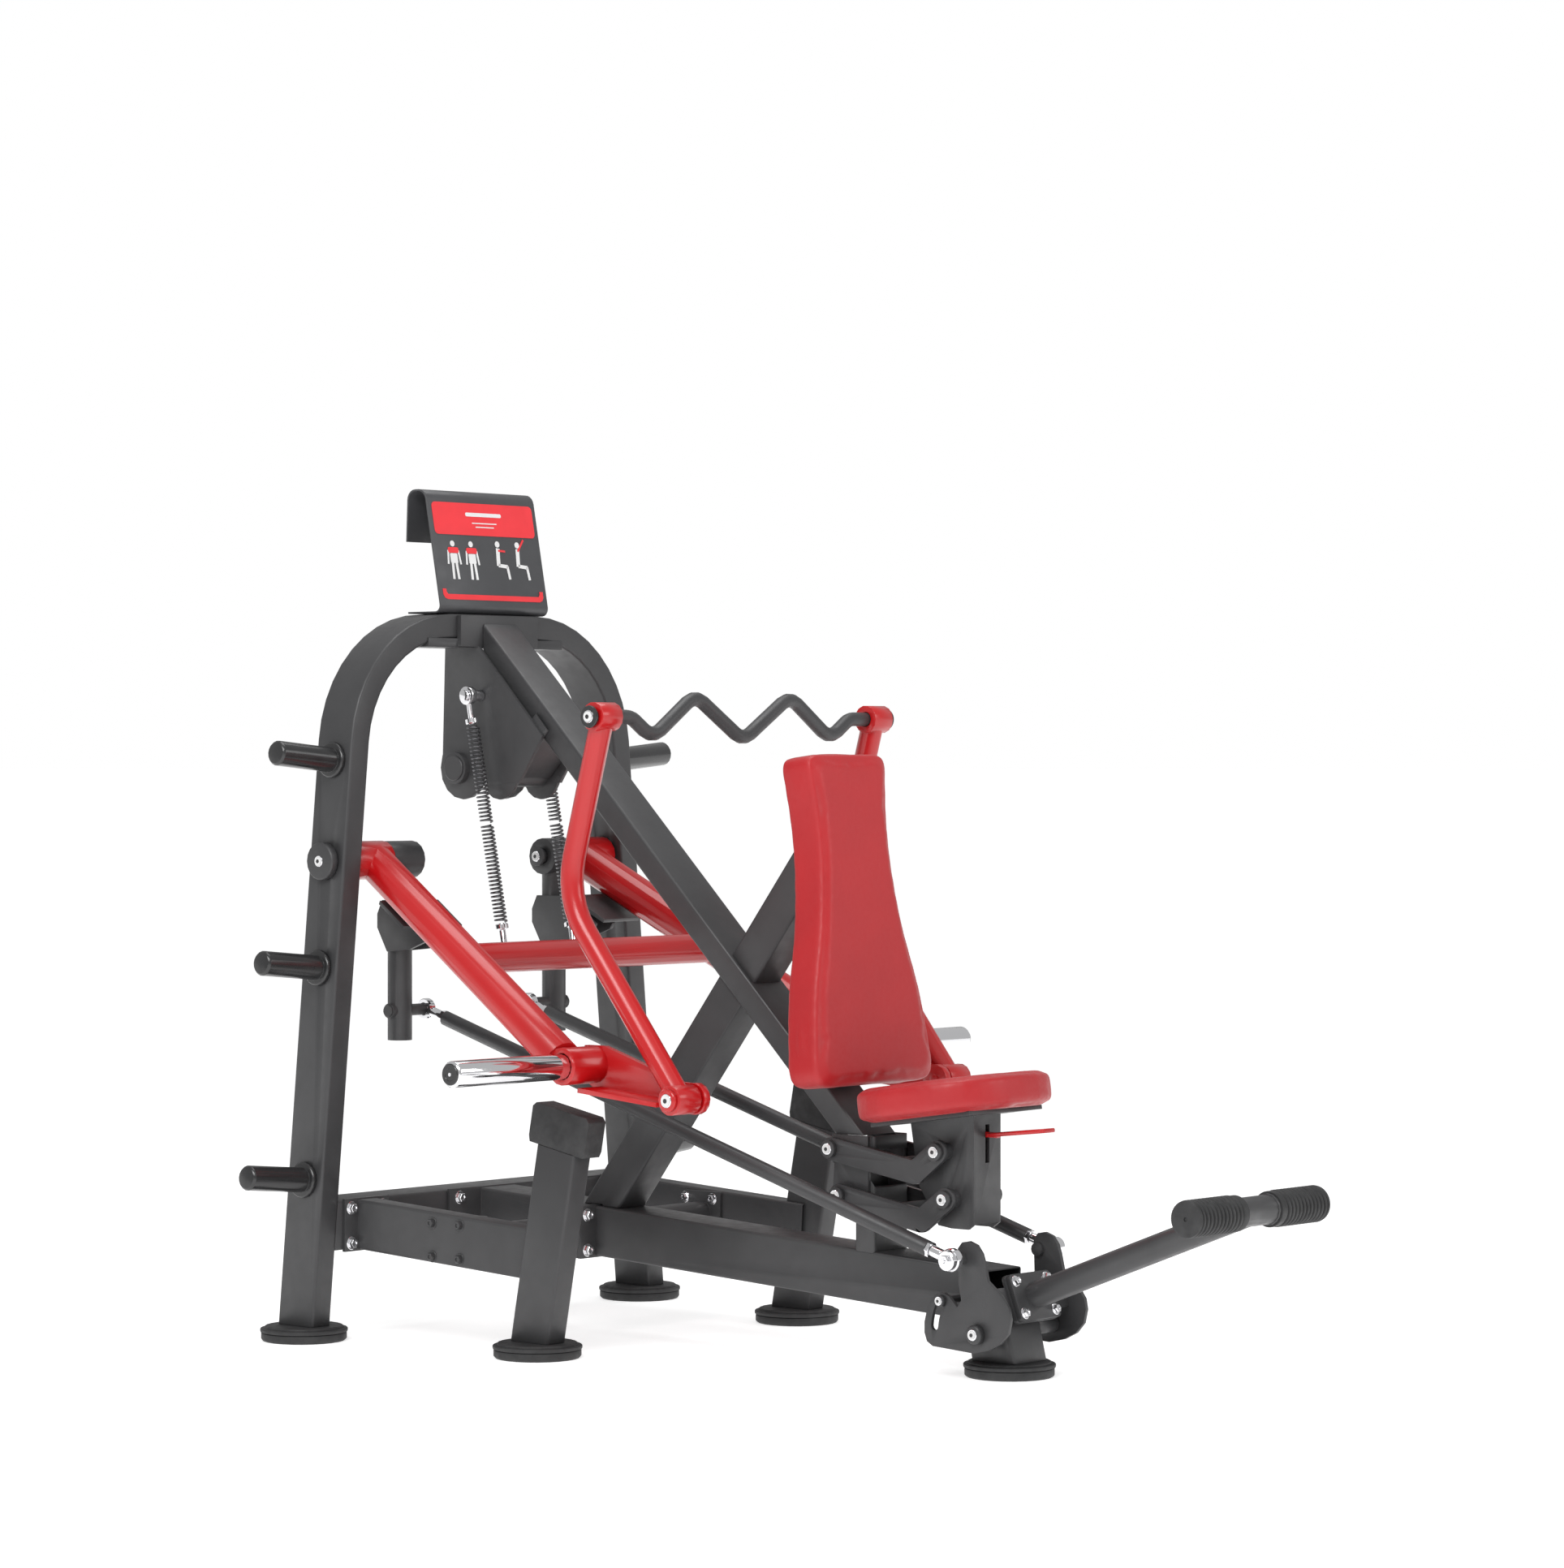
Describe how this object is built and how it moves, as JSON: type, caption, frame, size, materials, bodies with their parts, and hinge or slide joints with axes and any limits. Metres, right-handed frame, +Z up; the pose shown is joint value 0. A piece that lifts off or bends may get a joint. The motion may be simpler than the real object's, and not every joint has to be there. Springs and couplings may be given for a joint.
{
  "type": "plate-loaded shoulder press machine",
  "caption": "Plate-loaded seated shoulder press with an arched rear frame, red lifting arms, zigzag grip bar, padded seat and a foot pedal that helps lift the load",
  "frame": {"origin": "centre of the machine's outer box in X and Y, on the floor under its feet", "axes": "+X to the seated user's left, +Y from the foot pedal at the front to the arch at the rear, +Z up"},
  "size_m": [1.506, 2.064, 1.705],
  "materials": {
    "grey_paint": "satin powder coat with a fine texture",
    "red_paint": "gloss paint",
    "red_leather": "satin upholstery leather",
    "chrome": "polished",
    "spring_steel": "blued spring wire",
    "rubber": "matt",
    "placard": "satin with a printed panel"
  },
  "bodies": {
    "frame": {"rear_foot_right": "rubber", "rear_foot_left": "rubber", "side_foot_right": "rubber", "side_foot_left": "rubber", "front_foot": "rubber", "arch_frame": "grey_paint", "plate_peg_top_right": "grey_paint", "plate_peg_top_left": "grey_paint", "plate_peg_middle_right": "grey_paint", "plate_peg_middle_left": "grey_paint", "plate_peg_bottom_right": "grey_paint", "plate_peg_bottom_left": "grey_paint", "placard": "placard", "rear_crossmember": "grey_paint", "side_rail_right": "grey_paint", "side_rail_left": "grey_paint", "rear_beam": "grey_paint", "main_beam": "grey_paint", "stop_leg_right": "grey_paint", "stop_leg_left": "grey_paint", "stop_block_right": "rubber", "stop_block_left": "rubber", "front_leg": "grey_paint", "diagonal_beam": "grey_paint", "lower_brace": "grey_paint", "back_pad_post": "grey_paint", "back_pad": "red_leather", "seat_post": "grey_paint", "spring_hanger": "grey_paint", "arm_axle_right": "grey_paint", "arm_axle_left": "grey_paint", "pedal_axle": "grey_paint"},
    "pedal": {"pedal_yoke": "grey_paint", "pedal_bar": "grey_paint"},
    "lever_right": {"lever_right": "grey_paint"},
    "lever_left": {"lever_left": "grey_paint"},
    "rod_right": {"push_rod_right": "grey_paint"},
    "rod_left": {"push_rod_left": "grey_paint"},
    "arm": {"main_arm": "red_paint", "weight_sleeve_right": "chrome", "weight_sleeve_left": "chrome"},
    "press_frame": {"press_arm_right": "red_paint", "press_arm_left": "red_paint"},
    "handle": {"handle_bar": "grey_paint"},
    "seat_link_upper": {"seat_link_upper": "grey_paint"},
    "seat_link_lower": {"seat_link_lower": "grey_paint"},
    "seat": {"seat_carriage": "grey_paint", "seat_pad": "red_leather"},
    "seat_handle": {"seat_handle": "red_paint"},
    "stud_right": {"spring_stud_right": "chrome"},
    "spring_right": {"spring_eye_right": "chrome", "upper_coil_right": "spring_steel"},
    "coil_right": {"lower_coil_right": "spring_steel"},
    "spring_foot_right": {"spring_foot_right": "chrome"},
    "stud_left": {"spring_stud_left": "chrome"},
    "spring_left": {"spring_eye_left": "chrome", "upper_coil_left": "spring_steel"},
    "coil_left": {"lower_coil_left": "spring_steel"},
    "spring_foot_left": {"spring_foot_left": "chrome"}
  },
  "joints": [
    {"name": "pedal_press", "type": "hinge", "parent": "frame", "child": "pedal", "pos_m": [0, -0.467, 0.09], "axis": [1, 0, 0], "range_deg": [0, 27]},
    {"name": "lever_right_swing", "type": "hinge", "parent": "frame", "child": "lever_right", "pos_m": [0, 0.947, 0.95], "axis": [-1, 0, 0], "range_deg": [0, 12.6]},
    {"name": "lever_left_swing", "type": "hinge", "parent": "frame", "child": "lever_left", "pos_m": [0, 0.947, 0.95], "axis": [-1, 0, 0], "range_deg": [0, 12.6]},
    {"name": "rod_right_swing", "type": "hinge", "parent": "lever_right", "child": "rod_right", "pos_m": [0, 0.947, 0.644], "axis": [1, 0, 0], "range_deg": [0, 12.9]},
    {"name": "rod_left_swing", "type": "hinge", "parent": "lever_left", "child": "rod_left", "pos_m": [0, 0.947, 0.644], "axis": [1, 0, 0], "range_deg": [0, 12.9]},
    {"name": "arm_lift", "type": "hinge", "parent": "lever_left", "child": "arm", "pos_m": [0, 0.947, 0.95], "axis": [-1, 0, 0], "range_deg": [0, 25]},
    {"name": "press_swing", "type": "hinge", "parent": "arm", "child": "press_frame", "pos_m": [0, 0.017, 0.516], "axis": [1, 0, 0], "range_deg": [0, 55]},
    {"name": "handle_turn", "type": "hinge", "parent": "press_frame", "child": "handle", "pos_m": [0, 0.217, 1.234], "axis": [1, 0, 0], "range_deg": [-45, 45]},
    {"name": "seat_height", "type": "hinge", "parent": "frame", "child": "seat_link_upper", "pos_m": [0, -0.07, 0.409], "axis": [-1, 0, 0], "range_deg": [-5, 16]},
    {"name": "seat_link_lower_swing", "type": "hinge", "parent": "frame", "child": "seat_link_lower", "pos_m": [0, -0.09, 0.321], "axis": [-1, 0, 0], "range_deg": [-5.2, 16.2]},
    {"name": "seat_level", "type": "hinge", "parent": "seat_link_upper", "child": "seat", "pos_m": [0, -0.332, 0.417], "axis": [1, 0, 0], "range_deg": [-5.2, 16.2]},
    {"name": "seat_pull", "type": "hinge", "parent": "seat", "child": "seat_handle", "pos_m": [0, -0.384, 0.449], "axis": [-1, 0, 0], "range_deg": [0, 15]},
    {"name": "spring_right_pedal_turn", "type": "hinge", "parent": "frame", "child": "stud_right", "pos_m": [-0.101, 0.875, 1.283], "axis": [-1, 0, 0], "range_deg": [0, 4.83]},
    {"name": "spring_right_lift_turn", "type": "hinge", "parent": "stud_right", "child": "spring_right", "pos_m": [-0.101, 0.875, 1.283], "axis": [-1, 0, 0], "range_deg": [0, 10.31]},
    {"name": "spring_right_pedal_close", "type": "slide", "parent": "spring_right", "child": "coil_right", "axis": [0, 0.1994, 0.9799], "range_m": [0, 0.0352], "deforming": ["upper_coil_right"]},
    {"name": "spring_right_lift_close", "type": "slide", "parent": "coil_right", "child": "spring_foot_right", "axis": [0, 0.1994, 0.9799], "range_m": [0, 0.0762], "deforming": ["lower_coil_right"]},
    {"name": "spring_left_pedal_turn", "type": "hinge", "parent": "frame", "child": "stud_left", "pos_m": [0.101, 0.875, 1.283], "axis": [-1, 0, 0], "range_deg": [0, 4.83]},
    {"name": "spring_left_lift_turn", "type": "hinge", "parent": "stud_left", "child": "spring_left", "pos_m": [0.101, 0.875, 1.283], "axis": [-1, 0, 0], "range_deg": [0, 10.31]},
    {"name": "spring_left_pedal_close", "type": "slide", "parent": "spring_left", "child": "coil_left", "axis": [0, 0.1994, 0.9799], "range_m": [0, 0.0352], "deforming": ["upper_coil_left"]},
    {"name": "spring_left_lift_close", "type": "slide", "parent": "coil_left", "child": "spring_foot_left", "axis": [0, 0.1994, 0.9799], "range_m": [0, 0.0762], "deforming": ["lower_coil_left"]}
  ],
  "couplings": [
    {"joint": "lever_right_swing", "follows": "pedal_press", "ratio": 0.4643},
    {"joint": "lever_left_swing", "follows": "pedal_press", "ratio": 0.4643},
    {"joint": "rod_right_swing", "follows": "pedal_press", "ratio": 0.475},
    {"joint": "rod_left_swing", "follows": "pedal_press", "ratio": 0.475},
    {"joint": "seat_link_lower_swing", "follows": "seat_height", "ratio": 1},
    {"joint": "seat_level", "follows": "seat_height", "ratio": 1},
    {"joint": "spring_right_pedal_turn", "follows": "pedal_press", "ratio": 0.17143},
    {"joint": "spring_right_lift_turn", "follows": "arm_lift", "ratio": 0.4044},
    {"joint": "spring_right_pedal_close", "follows": "pedal_press", "m_per_rad": 0.073666},
    {"joint": "spring_right_lift_close", "follows": "arm_lift", "m_per_rad": 0.17361},
    {"joint": "spring_left_pedal_turn", "follows": "pedal_press", "ratio": 0.17143},
    {"joint": "spring_left_lift_turn", "follows": "arm_lift", "ratio": 0.4044},
    {"joint": "spring_left_pedal_close", "follows": "pedal_press", "m_per_rad": 0.073666},
    {"joint": "spring_left_lift_close", "follows": "arm_lift", "m_per_rad": 0.17361}
  ]
}
